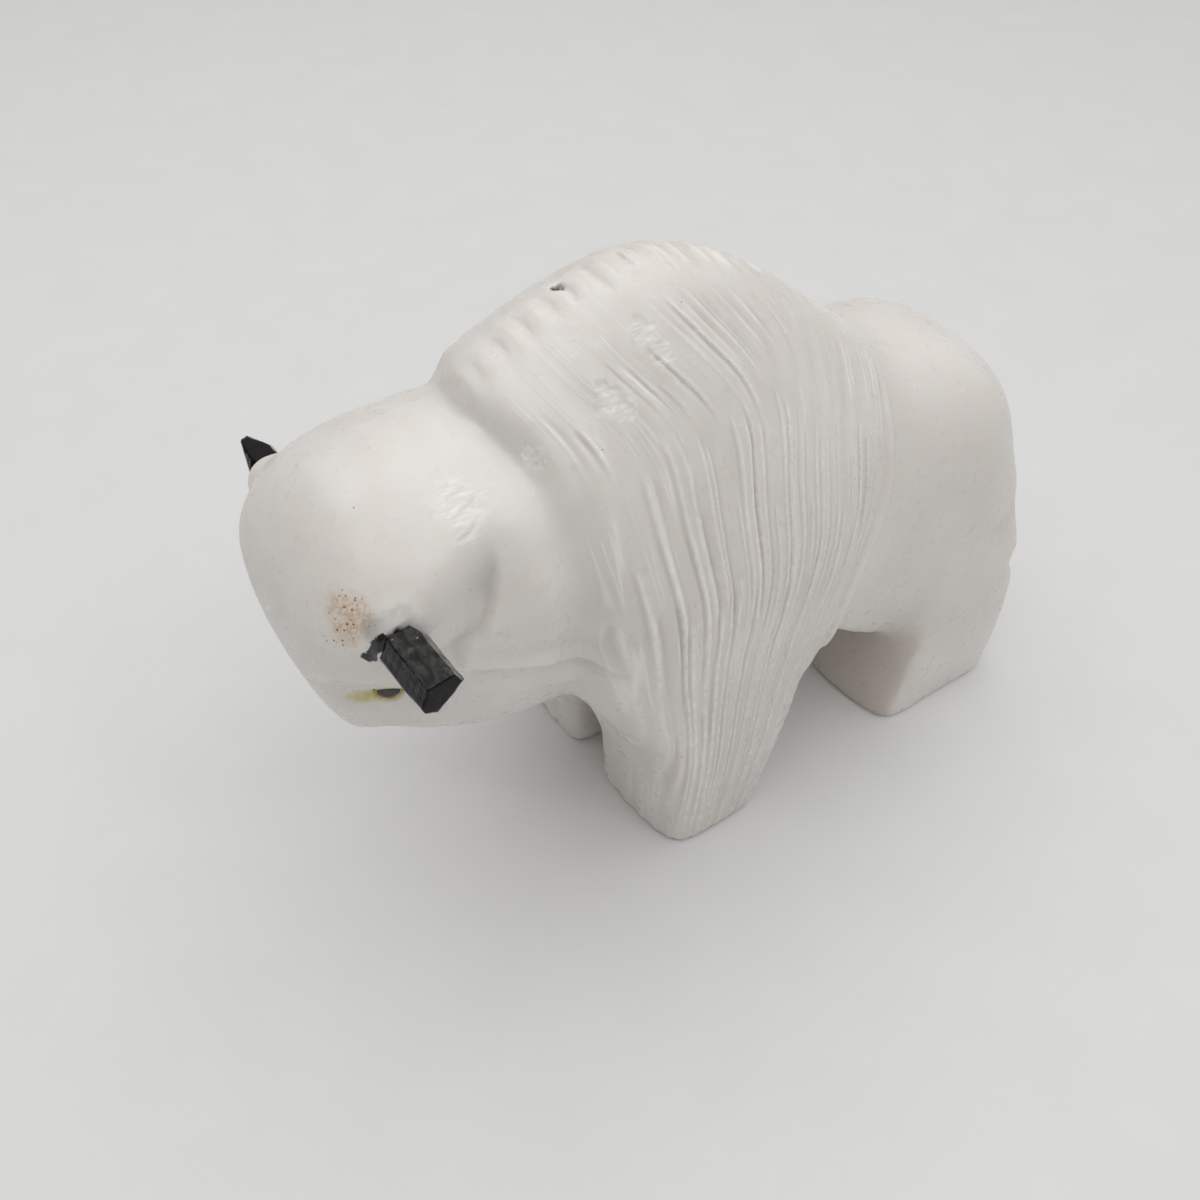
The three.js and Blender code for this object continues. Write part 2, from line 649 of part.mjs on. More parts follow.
const carving = new THREE.Group();

function add(name, geometry, material, matrix) {
  const mesh = new THREE.Mesh(geometry, material);
  mesh.name = name;
  if (matrix) matrix.decompose(mesh.position, mesh.quaternion, mesh.scale);
  carving.add(mesh);
}

let stone = solid(bodyGeometry());
const sides = [
  { name: 'left', side: -1, tip: LEFT_HORN_TIP },
  { name: 'right', side: 1, tip: RIGHT_HORN_TIP },
];
for (const { name, side, tip } of sides) {
  const hornSeat = seat(HORN_PLACE, side, new THREE.Vector3(0, side, 0));
  const eyeSeat = seat(EYE_PLACE, side);
  stone = stone.subtract(solid(hornSocket(side).applyMatrix4(hornSeat)));
  stone = stone.subtract(solid(eyeSocket().applyMatrix4(eyeSeat)));
  add(`horn_${name}`, hornGeometry(tip, side), blackStone, hornSeat);
  add(`eye_${name}`, eyeGeometry(), blackStone, eyeSeat);
}
add('body', meshGeometry(stone), whiteStone);

export default carving;
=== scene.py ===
# %% [markdown]
# # A buffalo carved from white stone
#
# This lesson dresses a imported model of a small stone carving. The solids already have the
# right size and place. Here they get the finish of the real piece: a polished, slightly
# translucent body with a mane cut lock by lock, horns of knapped black stone, and inlaid
# eyes with a thread of amber glue round them.

import bpy
import numpy as np
from math import cos, pi, radians, sin
from mathutils import Matrix, Vector


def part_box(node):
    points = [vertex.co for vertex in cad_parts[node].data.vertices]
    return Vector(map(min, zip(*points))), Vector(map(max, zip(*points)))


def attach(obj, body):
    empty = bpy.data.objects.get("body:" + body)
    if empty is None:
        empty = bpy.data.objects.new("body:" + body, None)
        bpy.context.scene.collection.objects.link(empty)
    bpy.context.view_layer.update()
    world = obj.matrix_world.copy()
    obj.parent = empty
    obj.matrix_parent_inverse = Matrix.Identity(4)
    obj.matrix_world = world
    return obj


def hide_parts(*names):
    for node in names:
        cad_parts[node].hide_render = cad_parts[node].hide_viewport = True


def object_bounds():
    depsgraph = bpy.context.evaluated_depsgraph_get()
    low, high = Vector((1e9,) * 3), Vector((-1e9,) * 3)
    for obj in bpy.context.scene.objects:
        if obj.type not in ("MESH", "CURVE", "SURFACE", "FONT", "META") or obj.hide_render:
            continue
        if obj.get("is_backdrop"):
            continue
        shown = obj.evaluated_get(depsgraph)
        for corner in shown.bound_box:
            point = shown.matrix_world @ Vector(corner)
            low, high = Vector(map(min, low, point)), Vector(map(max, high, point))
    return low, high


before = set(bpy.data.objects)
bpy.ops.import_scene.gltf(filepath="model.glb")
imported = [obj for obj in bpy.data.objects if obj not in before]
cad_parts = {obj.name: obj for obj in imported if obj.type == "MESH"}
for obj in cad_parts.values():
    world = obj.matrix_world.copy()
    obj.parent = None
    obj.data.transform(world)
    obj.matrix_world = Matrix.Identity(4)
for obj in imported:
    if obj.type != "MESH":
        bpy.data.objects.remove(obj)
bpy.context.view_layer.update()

# %% [markdown]
# ## Measuring along the animal
#
# The carving was drawn in shares of its length, counted from the front of the forefeet.
# Keeping the same shares here means that each cut falls where the solid has its forms.
# A profile is a smooth curve through a few points, read back as a value at a place.

# %% Shares and profiles
SHARE = 0.128 / 104.5
MIDDLE = 13.4
MM = 0.001


def profile(points):
    p = np.array(points, float)
    p = np.vstack([2 * p[0] - p[1], p, 2 * p[-1] - p[-2]])
    t = np.linspace(0, 1, 20, endpoint=False)[:, None]
    traced = []
    for a, b, c, d in zip(p, p[1:], p[2:], p[3:]):
        traced.append(0.5 * (2 * b + (c - a) * t + (2 * a - 5 * b + 4 * c - d) * t**2
                             + (3 * b - a - 3 * c + d) * t**3))
    traced = np.vstack(traced + [p[-2:-1]])
    return lambda at: np.interp(at, traced[:, 0], traced[:, 1])


def smoothstep(v, low, high):
    t = np.clip((v - low) / (high - low), 0, 1)
    return t * t * (3 - 2 * t)


def bell(v, width):
    return np.exp(-(v / width) ** 2)


def place_of(shares):
    return Vector(((shares[0] - MIDDLE) * SHARE, shares[1] * SHARE, shares[2] * SHARE))


# %% Lines of the back and of the mane
BACK = profile([(-24, 62), (-18, 68), (-12, 73.3), (-6, 76.7), (2, 79.2), (8, 79.8), (14, 78.3),
                (22, 74.2), (31, 67.3), (38, 61.6), (44, 57.8), (51, 56.6), (57, 54.4), (62, 49.6),
                (68, 41)])
MANE_FRONT = profile([(-6, -8), (0, -8), (14, -8.6), (30, -9.8), (46, -11), (58, -12.4), (67, -13),
                      (74, -16), (86, -20)])
MANE_REAR = profile([(-6, 18.4), (0, 18.4), (12, 21.4), (24, 23.6), (31, 24.6), (36, 26), (41, 29),
                     (48, 33), (56, 36), (61, 39.4), (66, 43), (86, 54)])
ROOF = profile([(20, 27), (26, 27), (34, 20.8), (42, 14.8), (50, 16)])


def mane_share(x, y, z):
    inward = np.maximum(19 - np.abs(y), 0) * (1 - smoothstep(z, 12, 22))
    front = MANE_FRONT(z)
    return (x - 0.45 * inward - front) / (MANE_REAR(z) - front)


print("mane is", round(float(MANE_REAR(50) - MANE_FRONT(50)) * SHARE / MM), "mm across at half height")


# %% [markdown]
# ## Handling meshes
#
# Blender's operators act on whatever is selected, so a piece is always taken on its own
# first. Long lists of points are moved with arrays, because a skin of this size is too
# slow to walk through point by point.

# %% Take, copy and shape
def deselect():
    if bpy.context.object and bpy.context.object.mode != "OBJECT":
        bpy.ops.object.mode_set(mode="OBJECT")
    bpy.ops.object.select_all(action="DESELECT")


def take(piece):
    deselect()
    piece.select_set(True)
    bpy.context.view_layer.objects.active = piece


def in_edit_mode(piece, *steps):
    take(piece)
    bpy.ops.object.mode_set(mode="EDIT")
    bpy.ops.mesh.select_all(action="SELECT")
    for step in steps:
        step()
    bpy.ops.object.mode_set(mode="OBJECT")


def copy_of(node, name):
    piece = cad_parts[node].copy()
    piece.data = piece.data.copy()
    for key in list(piece.keys()):
        del piece[key]
    piece.name = piece.data.name = name
    piece.parent = None
    bpy.context.scene.collection.objects.link(piece)
    in_edit_mode(piece, lambda: bpy.ops.mesh.remove_doubles(threshold=1e-6))
    return piece


def apply_modifier(piece, kind, **settings):
    take(piece)
    modifier = piece.modifiers.new(kind.title(), kind)
    for key, value in settings.items():
        setattr(modifier, key, value)
    bpy.ops.object.modifier_apply(modifier=modifier.name)


def settle(piece):
    take(piece)
    bpy.ops.object.transform_apply(location=True, rotation=True, scale=True)


def points_of(piece, kind="co"):
    values = np.empty(len(piece.data.vertices) * 3)
    piece.data.vertices.foreach_get(kind, values)
    return values.reshape(-1, 3)


def set_points(piece, co):
    piece.data.vertices.foreach_set("co", co.ravel())
    piece.data.update()


def in_shares(co):
    return co[:, 0] / SHARE + MIDDLE, co[:, 1] / SHARE, co[:, 2] / SHARE


# %% [markdown]
# ## The body's skin
#
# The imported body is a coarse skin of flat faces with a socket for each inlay. On the real
# piece the horns are bedded in their sockets with no gap, so a plug of stone fills each
# horn socket up to the surface. A voxel remesh then joins body and plugs into one skin of
# small even squares, which is the clay that everything else is cut into.

# %% Copy the body and bed the horns
GRAIN = 0.00028
PLUG_RADIUS = 3.72
PLUG_DEPTH = 3.5
PLUG_PLACE = (-54.3, 17.6, 69.9)
body = copy_of("body", "carved_body")
for side in (-1, 1):
    deselect()
    place = (PLUG_PLACE[0] * MM, side * PLUG_PLACE[1] * MM, PLUG_PLACE[2] * MM)
    bpy.ops.mesh.primitive_cylinder_add(vertices=28, radius=PLUG_RADIUS * MM, depth=PLUG_DEPTH * MM,
                                        location=place, rotation=(pi / 2, 0, 0))
    plug = bpy.context.object
    settle(plug)
    in_edit_mode(plug, lambda: bpy.ops.mesh.bevel(offset=0.3 * MM, segments=2))
    take(body)
    plug.select_set(True)
    bpy.ops.object.join()
in_edit_mode(body, lambda: bpy.ops.mesh.tris_convert_to_quads())
apply_modifier(body, "REMESH", mode="VOXEL", voxel_size=GRAIN)
print("skin", len(body.data.vertices), "points")


# %% [markdown]
# The remeshed skin still shows the flat faces. Smoothing melts them, but it would also
# melt the creases, so each point gets its own weight: strong on the mane, where new locks
# are cut, medium on the polished flanks, and lightest at the hocks, the tail and the rear
# edge of the mane. The soles are put back on the ground afterwards.

# %% Smooth the skin by weight
def smooth(piece, weight, turns):
    group = piece.vertex_groups.new(name="soft")
    levels = np.round(weight * 20).astype(int)
    for level in range(1, 21):
        chosen = np.where(levels == level)[0]
        if len(chosen):
            group.add(chosen.tolist(), level / 20, "REPLACE")
    apply_modifier(piece, "SMOOTH", factor=0.5, iterations=turns, vertex_group="soft")
    piece.vertex_groups.remove(piece.vertex_groups["soft"])


x, y, z = in_shares(points_of(body))
share = mane_share(x, y, z)
on_mane = smoothstep(share, -0.1, 0.04) * (1 - smoothstep(share, 0.97, 1.0)) * smoothstep(z, 4, 10)
crisp = smoothstep(x, 38, 44) * smoothstep(z, 10, 14) * (1 - smoothstep(z, 26, 31))
crisp = np.maximum(crisp, smoothstep(x, 60, 63) * smoothstep(z, 22, 28) * (1 - smoothstep(np.abs(y), 6, 9)))
crisp = np.maximum(crisp, bell(share - 1.01, 0.025) * smoothstep(z, 20, 30))
under_edge = bell(z - ROOF(x), 2.2) * smoothstep(x, 20, 25) * (1 - smoothstep(x, 46, 50))
under_edge *= smoothstep(np.abs(y), 14, 16)
crisp = np.maximum(crisp, 0.8 * under_edge)
soft = (0.45 + 0.4 * on_mane) * (1 - 0.75 * crisp)
standing = z < 0.25
level = points_of(body)[standing, 2]
smooth(body, np.clip(soft, 0, 1), 120)
co = points_of(body)
co[standing, 2] = level
set_points(body, co)
print("soft", round(float(soft.mean()), 2), "on average")


# %% [markdown]
# ## Creases of the head
#
# Four cuts give the head its character: the hollow behind each horn, with a crisp edge on
# its neck side; the crease that parts the jaw from the chest; the brow, a small lid that
# hangs over the eye; and a few short gouge strokes on the poll. Each is pressed into the
# skin as a soft bell across a line, mirrored to both sides. The dip behind the neck and
# the crease of the hock are pressed in with them.

# %% Press and push
def press(piece, depth):
    co = points_of(piece) - points_of(piece, "normal") * (depth * MM)[:, None]
    co[:, 2] = np.maximum(co[:, 2], 0)
    set_points(piece, co)


def far_from_line(x, y, z, line):
    nearest = np.full(len(x), 1e9)
    spot = np.stack([x, y, z], 1)
    line = np.array(line, float)
    for a, b in zip(line, line[1:]):
        t = np.clip(((spot - a) @ (b - a)) / ((b - a) @ (b - a)), 0, 1)
        nearest = np.minimum(nearest, np.linalg.norm(spot - a - t[:, None] * (b - a), axis=1))
    return nearest


# %% Hollow behind the horn, and the jaw crease
x, y, z = in_shares(points_of(body))
out = np.abs(y)
edge = profile([(48, 25.3), (50.4, 24.7), (52.8, 23), (58.9, 20.5), (63, 19.5)])
toward_horn = -x - edge(z)
hollow = 2.4 * np.where(toward_horn > 0, bell(toward_horn, 3.0), bell(toward_horn, 0.4))
hollow *= smoothstep(z, 46.5, 51.5) * (1 - smoothstep(z, 57, 63)) * smoothstep(out, 10, 13)
jaw_line = profile([(-30, 50), (-24.1, 48.3), (-21, 47.2), (-17.5, 45.5), (-13.3, 42.9),
                    (-9.3, 41.2), (-4, 39)])
drop = z - jaw_line(x)
jaw = np.where(drop < 0, 1.15 * bell(drop + 0.9, 2.4), 0) * smoothstep(-drop, 0, 0.8)
jaw -= 0.3 * bell(drop - 0.9, 1.3)
jaw *= smoothstep(x, -27, -23) * (1 - smoothstep(x, -10, -7)) * smoothstep(out, 9, 12)
pocket = 0.8 * bell(far_from_line(x, out, z, [(-10, 17, 43.4), (-8, 17.8, 44.7)]), 2.0)
valley = 0.75 * bell(mane_share(x, y, z) - 0.015, 0.045)
valley *= smoothstep(z, 42, 47) * (1 - smoothstep(z, 57, 63)) * smoothstep(out, 9, 12)
collar = 1.1 * bell(mane_share(x, y, z) + 0.01, 0.07) * smoothstep(z, 59, 64) * (1 - smoothstep(z, 71, 76))
hock = 1.2 * bell(far_from_line(x, out, z, [(61.5, 15, 31.5), (57.5, 19.5, 29.5)]), 3.2)
press(body, hollow + jaw + pocket + valley - collar + hock)
print("hollow", round(float(hollow.max()), 2), "mm, jaw", round(float(jaw.max()), 2), "mm deep")

# %% Brow over the eye
eye_low, eye_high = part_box("eye_left")
eye_centre = (np.array(eye_low) + np.array(eye_high)) / 2
EYE = (eye_centre[0] / SHARE + MIDDLE, -eye_centre[1] / SHARE, eye_centre[2] / SHARE)
x, y, z = in_shares(points_of(body))
out = np.abs(y)
above = z - EYE[2]
along = x - EYE[0]
lid = bell(along, 2.6) * smoothstep(above, 0.7, 1.2) * (1 - smoothstep(above, 1.4, 4.2))
lid *= smoothstep(out, 5, 6.5)
co = points_of(body)
co[:, 1] += np.sign(y) * lid * 0.75 * MM
co[:, 2] -= lid * 0.85 * MM
set_points(body, co)
print("brow above", [round(v, 1) for v in EYE], "in shares")

# %% Gouge strokes on the poll, and hair lines
x, y, z = in_shares(points_of(body))
out = np.abs(y)
POLL = [  # line, depth in mm
    ([(-20.7, 7.9, 66.6), (-23.2, 8.4, 66.4)], 0.15),
    ([(-19.6, 8.9, 66.1), (-23.0, 9.3, 66.0)], 0.2),
    ([(-20.3, 9.5, 65.8), (-22.9, 10.2, 65.4)], 0.14),
    ([(-19.0, 9.8, 65.5), (-22.6, 11.3, 64.7)], 0.22),
    ([(-17.4, 9.9, 65.4), (-20.8, 12.0, 63.9)], 0.18),
    ([(-20.6, 12.1, 63.9), (-22.6, 12.7, 63.5)], 0.22),
    ([(-21.3, 11.6, 64.4), (-23.3, 12.3, 63.9)], 0.12),
    ([(-18.4, 8.6, 66.2), (-20.2, 8.9, 66.1)], 0.12)]
gouges = np.zeros(len(x))
for line, depth in POLL:
    away = far_from_line(x, np.where(y < 0, out, 1.08 * out + 0.7), z, line)
    gouges += 0.55 * depth * bell(away, 0.22) - 0.3 * depth * bell(away - 0.55, 0.22)
press(body, gouges)
rng = np.random.default_rng(3)
hair = np.zeros(len(x))
chin = smoothstep(-x, 3, 8) * (1 - smoothstep(-x, 19, 23)) * (1 - smoothstep(z, 42, 44))
chin *= smoothstep(out, 7, 10) * smoothstep(z, 27, 31)
for k in range(17):
    start, tilt, depth = rng.uniform(29, 44), rng.uniform(-0.2, 0.5), rng.uniform(0.08, 0.22)
    middle, length = rng.uniform(7, 20), rng.uniform(2.5, 6)
    swept = z - start - tilt * (x + 13) - 0.04 * (x + 13) ** 2
    hair += depth * bell(swept, 0.32) * bell(-x - middle, length) * chin
press(body, hair)
print("hair lines up to", round(float(hair.max()), 2), "mm deep")


# %% [markdown]
# ## Carving the mane
#
# The carver cut the mane with a small V gouge in overlapping tiers that fan out from the
# forelegs to the crest. A displacement picture could fake this, but the strokes would
# swim at the ends. So each stroke is written down with its start, end, depth and width,
# and cut along its own line of the fan. The stone thrown up beside the cut leaves a thin
# rim, which catches the light. Behind the narrow cuts lie wide shallow locks.

# %% Lay out the strokes
LEAN = profile([(0, 0.28), (25, 0.25), (40, 0.2), (50, 0.17), (66, 0.12), (78, 0)])
START_LOW = profile([(0, 66), (0.18, 66), (0.45, 67), (0.66, 62.5), (0.89, 55), (1, 50)])
TIERS = [  # from, to, strokes, top, bottom, depth
    (0.06, 0.17, 5, lambda u: 70, lambda u: 65.5, 0.34),
    (0.20, 0.32, 6, lambda u: 74, lambda u: 66.5, 0.36),
    (0.31, 0.44, 6, lambda u: 78, lambda u: 66.5, 0.34),
    (0.46, 0.80, 15, lambda u: 80 - 12 * (u - 0.46), lambda u: 66.5 - 16 * (u - 0.46), 0.30),
    (0.80, 0.97, 6, lambda u: 74 - 22 * (u - 0.8), lambda u: 61 - 22 * (u - 0.8), 0.26),
    (0.15, 0.97, 24, lambda u: START_LOW(u), lambda u: 40, 0.32),
    (0.10, 0.96, 13, lambda u: START_LOW(u) - 8, lambda u: 36, 0.22),
    (0.05, 0.97, 26, lambda u: 49 - 3 * u, lambda u: -6, 0.26),
    (0.10, 0.95, 12, lambda u: 28, lambda u: -6, 0.15),
]


def strokes_of(side):
    rng = np.random.default_rng(20 + side)
    for start, end, count, top, bottom, depth in TIERS:
        for k in range(count):
            shift = rng.uniform(-0.38, 0.38)
            u = start + (end - start) * (k + 0.5 + shift) / count
            high = top(u) + rng.uniform(-2.5, 1.5)
            low = bottom(u) + rng.uniform(-4, 3)
            lane = u - LEAN(high) * sin(pi * u)
            yield lane, high, low, depth * rng.uniform(0.4, 1.4), rng.uniform(0.24, 0.4), rng.choice((-1, 1))


print("strokes on each side", len(list(strokes_of(-1))))


# %% Work out the cuts
def fan_lane(x, y, z):
    share = mane_share(x, y, z)
    return share - LEAN(z) * np.sin(np.pi * np.clip(share, 0, 1))


def wander(seed, lane, pitch):
    values = np.random.default_rng(seed).uniform(-1, 1, int(1.6 / pitch) + 4)
    at = (lane + 0.3) / pitch
    low = np.clip(np.floor(at).astype(int), 0, len(values) - 2)
    t = smoothstep(at - low, 0, 1)
    return values[low] * (1 - t) + values[low + 1] * t


def mane_cuts(x, y, z):
    share = mane_share(x, y, z)
    below = BACK(x) - z
    cut = np.zeros(len(x))
    rim = np.zeros(len(x))
    wide = np.zeros(len(x))
    for side in (-1, 1):
        chosen = np.where((share > -0.05) & (share < 1.02) & (y * side > 0))[0]
        lane = fan_lane(x[chosen], y[chosen], z[chosen])
        height = z[chosen]
        span = (MANE_REAR(height) - MANE_FRONT(height)) * SHARE / MM
        for middle, high, low, depth, narrow, leaning in strokes_of(side):
            aside = (lane - middle) * span
            here = smoothstep(height, low, low + 5) * (1 - smoothstep(height, high - 1.6, high))
            swell = 0.85 + 0.15 * np.sin(height / 4.1 + 40 * middle)
            cut[chosen] += depth * swell * here * np.clip(1 - np.abs(aside) / narrow, 0, 1) ** 0.8
            rim[chosen] += 0.62 * depth * here * bell(aside - leaning * 1.4 * narrow, 0.55 * narrow)
        upper = smoothstep(height, 60, 66)
        lower = 1 - smoothstep(height, 44, 50)
        middle_tier = (1 - upper) * (1 - lower)
        wide[chosen] = 0.13 * upper * wander(5 + side, lane, 0.052)
        wide[chosen] += 0.15 * middle_tier * wander(15 + side, lane, 0.047)
        wide[chosen] += 0.14 * lower * wander(25 + side, lane, 0.042)
    outside = smoothstep(np.abs(y), 12.5, 16.5) + smoothstep(z, 50, 58)
    outside += smoothstep(np.abs(y), 3, 6) * (1 - smoothstep(z, 9, 16))
    within = smoothstep(share, 0.0, 0.03) * (1 - smoothstep(share, 0.975, 1.0))
    within *= 1 - 0.85 * (1 - smoothstep(share, 0.08, 0.3)) * (1 - smoothstep(z, 40, 48))
    reach = np.minimum(outside, 1) * within * smoothstep(below, 1.5, 5.5)
    reach *= 0.45 + 0.55 * smoothstep(z, 2, 15)
    return cut * reach, rim * reach, wide * reach


# %% Cut the locks
x, y, z = in_shares(points_of(body))
cut, rim, wide = mane_cuts(x, y, z)
press(body, cut - rim + wide)
print("deepest cut", round(float(cut.max()), 2), "mm, highest rim", round(float(rim.max()), 2), "mm")

# %% [markdown]
# Two more things shape the mane. Its rear edge stands proud of the flank as a thin lip,
# and its crest is nicked all along with the corner of a file, like a worn saw blade.

# %% Lip of the mane and nicks of the crest
x, y, z = in_shares(points_of(body))
share = mane_share(x, y, z)
lip = 0.5 * smoothstep(share, 0.955, 0.99) * (1 - smoothstep(share, 0.998, 1.008))
lip -= 0.34 * bell(share - 1.02, 0.013)
lip *= smoothstep(z, 24, 30) * (1 - smoothstep(z, 52, 60))
rng = np.random.default_rng(11)
nicks = np.zeros(len(x))
for k in range(30):
    at = -20.5 + 1.5 * k + rng.uniform(-0.4, 0.4)
    sweep = 0.12 * np.abs(y) * (1 if k > 14 else -1)
    reach = rng.uniform(2.4, 4.4) if k > 4 else rng.uniform(4, 7)
    deep = rng.uniform(0.16, 0.44) * (1 if k > 12 else 0.35)
    nick = deep * bell(x - at - sweep, rng.uniform(0.26, 0.4))
    nicks += nick * (1 - smoothstep(np.abs(y), reach * 0.4, reach))
nicks *= 1 - smoothstep(BACK(x) - z, 3.5, 8)
press(body, nicks - lip)
print("nicks up to", round(float(nicks.max()), 2), "mm")

# %% [markdown]
# Last, the stone itself has failed in places: shallow chips on the shoulder where flakes
# sprang off, and a small dark pit on the crest.

# %% Chips and the crest pit
CHIPS = [((2.7, -7.4, 75.4), 1.6, 0.17), ((3.7, -9.6, 73.5), 1.2, 0.14), ((-3.5, -10.2, 71.3), 1.8, 0.2),
         ((-2.2, -11.2, 69.9), 1.1, 0.13), ((-11.7, -9.2, 67.1), 1.5, 0.2), ((-20.6, -16.2, 53), 0.9, 0.16),
         ((12.5, 9, 74.6), 1.5, 0.26), ((30, -8, 66.6), 0.9, 0.16), ((4, 15.5, 66), 1.3, 0.24)]
x, y, z = in_shares(points_of(body))
chips = np.zeros(len(x))
for spot, radius, depth in CHIPS:
    dx, dy, dz = x - spot[0], y - spot[1], z - spot[2]
    away = np.sqrt(dx**2 + dy**2 + dz**2)
    turn = np.arctan2(dz, dx)
    ragged = radius * (1 + 0.22 * np.sin(3 * turn + spot[0]) + 0.12 * np.sin(7 * turn))
    chips += depth * (1 - smoothstep(away, 0.72 * ragged, ragged)) * (0.6 + 0.4 * away / radius)
chips += 0.8 * bell(np.sqrt((x + 1.8) ** 2 + (y - 1.4) ** 2 + (z - 77.5) ** 2), 0.55)
press(body, chips)
print("chips", len(CHIPS))

# %% [markdown]
# The skin now has over a million faces, most of them on polished stone that needs few.
# Decimate thins it where it is smooth and keeps the cuts. That leaves some long thin
# faces, so edges are turned, the smooth parts are relaxed a little, and each point's
# shading is weighted by the size of the faces round it.

# %% Thin out the skin where it is smooth
MOST_FACES = 197000
apply_modifier(body, "DECIMATE", ratio=MOST_FACES / (2 * len(body.data.polygons)))
in_edit_mode(body, lambda: bpy.ops.mesh.beautify_fill(angle_limit=0.2))
x, y, z = in_shares(points_of(body))
share = mane_share(x, y, z)
calm = np.where((share > -0.03) & (share < 1.01), 0.1, 0.9)
for spot, radius, depth in CHIPS:
    calm[(x - spot[0]) ** 2 + (y - spot[1]) ** 2 + (z - spot[2]) ** 2 < (1.3 * radius) ** 2] = 0
calm[z < 0.3] = 0
smooth(body, calm, 8)
take(body)
bpy.ops.object.shade_smooth()
apply_modifier(body, "WEIGHTED_NORMAL", mode="FACE_AREA", weight=50, keep_sharp=False)
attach(body, "root")
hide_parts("body")
print("body", len(body.data.polygons), "faces")


# %% [markdown]
# The stone's finish has to know where the cuts are: the grooves are coloured darker and
# warmer, and the rims get a painted highlight. So the depth of each cut, and the lane of the
# fan it lies in, are written into the skin as attributes that the material can read, with a
# mask of painted shade, partly also unrubbed stone, on the front faces of the hind legs.

# %% Write the cuts into the skin
def write_attribute(piece, name, values):
    layer = piece.data.attributes.new(name, "FLOAT", "POINT")
    layer.data.foreach_set("value", values.astype(np.float32))


x, y, z = in_shares(points_of(body))
cut, rim, wide = mane_cuts(x, y, z)
write_attribute(body, "cut", np.clip(cut / 0.4 + np.maximum(wide, 0) / 0.8, 0, 1))
write_attribute(body, "rim", np.clip(rim / 0.14 - cut / 0.3, 0, 1))
write_attribute(body, "lane", fan_lane(x, y, z) * 45)
share = mane_share(x, y, z)
maned = smoothstep(share, 0.0, 0.05) * (1 - smoothstep(share, 0.95, 1.0)) * smoothstep(BACK(x) - z, 0, 3)
write_attribute(body, "maned", maned)
normals = points_of(body, "normal")
shaded = smoothstep(-normals[:, 0], 0.3, 0.75) * smoothstep(x, 31, 36) * (1 - smoothstep(z, 14, 19))
write_attribute(body, "shade_and_unrubbed", shaded)
print("attributes", [a.name for a in body.data.attributes if a.data_type == "FLOAT" and not a.is_internal])


# %% [markdown]
# ## The white stone
#
# Alabaster lets light in a few millimetres deep, so the shader scatters light under the
# surface. The colour is built up in layers: clouds in the stone, a warm stain over the crest,
# darker and warmer grooves, a painted highlight on the rims, painted shade on the front faces
# of the hind legs that is partly also duller stone where nothing rubs it, then the marks:
# dark specks, a patch of rust, grey polish and black glue round the horn.

# %% A small kit for materials
class Finish:
    def __init__(self, name, colour, roughness):
        self.material = bpy.data.materials.new(name)
        self.material.use_nodes = True
        self.nodes = self.material.node_tree.nodes
        self.links = self.material.node_tree.links
        self.shader = self.nodes["Principled BSDF"]
        self.shader.inputs["Base Color"].default_value = (*colour, 1)
        self.shader.inputs["Roughness"].default_value = roughness
        self.where = self.nodes.new("ShaderNodeTexCoord").outputs["Object"]

    def join(self, source, socket):
        if hasattr(source, "is_output"):
            self.links.new(source, socket)
        else:
            socket.default_value = source

    def noise(self, scale, detail=3, vector=None, rough=0.5):
        node = self.nodes.new("ShaderNodeTexNoise")
        node.inputs["Scale"].default_value = scale
        node.inputs["Detail"].default_value = detail
        node.inputs["Roughness"].default_value = rough
        self.join(vector or self.where, node.inputs["Vector"])
        return node.outputs["Fac"]

    def stretched(self, scale, vector=None):
        node = self.nodes.new("ShaderNodeMapping")
        node.inputs["Scale"].default_value = scale
        self.join(vector or self.where, node.inputs["Vector"])
        return node.outputs["Vector"]

    def span(self, value, low, high, to_low=0.0, to_high=1.0):
        node = self.nodes.new("ShaderNodeMapRange")
        node.interpolation_type = "SMOOTHSTEP"
        for name, number in (("From Min", low), ("From Max", high), ("To Min", to_low), ("To Max", to_high)):
            node.inputs[name].default_value = number
        self.join(value, node.inputs["Value"])
        return node.outputs["Result"]

    def maths(self, kind, a, b):
        node = self.nodes.new("ShaderNodeMath")
        node.operation = kind
        self.join(a, node.inputs[0])
        self.join(b, node.inputs[1])
        return node.outputs[0]

    def blend(self, amount, under, over):
        node = self.nodes.new("ShaderNodeMix")
        node.data_type = "RGBA"
        self.join(amount, node.inputs[0])
        self.join(under if hasattr(under, "is_output") else (*under, 1), node.inputs[6])
        self.join(over if hasattr(over, "is_output") else (*over, 1), node.inputs[7])
        return node.outputs[2]

    def attribute(self, name):
        node = self.nodes.new("ShaderNodeAttribute")
        node.attribute_name = name
        return node.outputs["Fac"]

    def near(self, line, radius, edge, ragged=0.0, grain=900):
        """How much of a mark along a line of places reaches here, from 0 to 1."""
        wobble = self.noise(grain, 4) if ragged else None
        best = None
        for spot in line:
            node = self.nodes.new("ShaderNodeVectorMath")
            node.operation = "DISTANCE"
            self.join(self.where, node.inputs[0])
            node.inputs[1].default_value = place_of(spot)
            away = node.outputs["Value"]
            best = away if best is None else self.maths("MINIMUM", best, away)
        if ragged:
            wobble = self.maths("MULTIPLY", self.maths("SUBTRACT", wobble, 0.5), ragged)
            best = self.maths("ADD", best, wobble)
        return self.span(best, radius - edge, radius + edge, 1.0, 0.0)

    def bump(self, height, distance, under=None):
        node = self.nodes.new("ShaderNodeBump")
        node.inputs["Distance"].default_value = distance
        self.join(height, node.inputs["Height"])
        if under:
            self.join(under, node.inputs["Normal"])
        return node.outputs["Normal"]


def filled(a, b, count):
    return [tuple(a[i] + (b[i] - a[i]) * k / (count - 1) for i in range(3)) for k in range(count)]
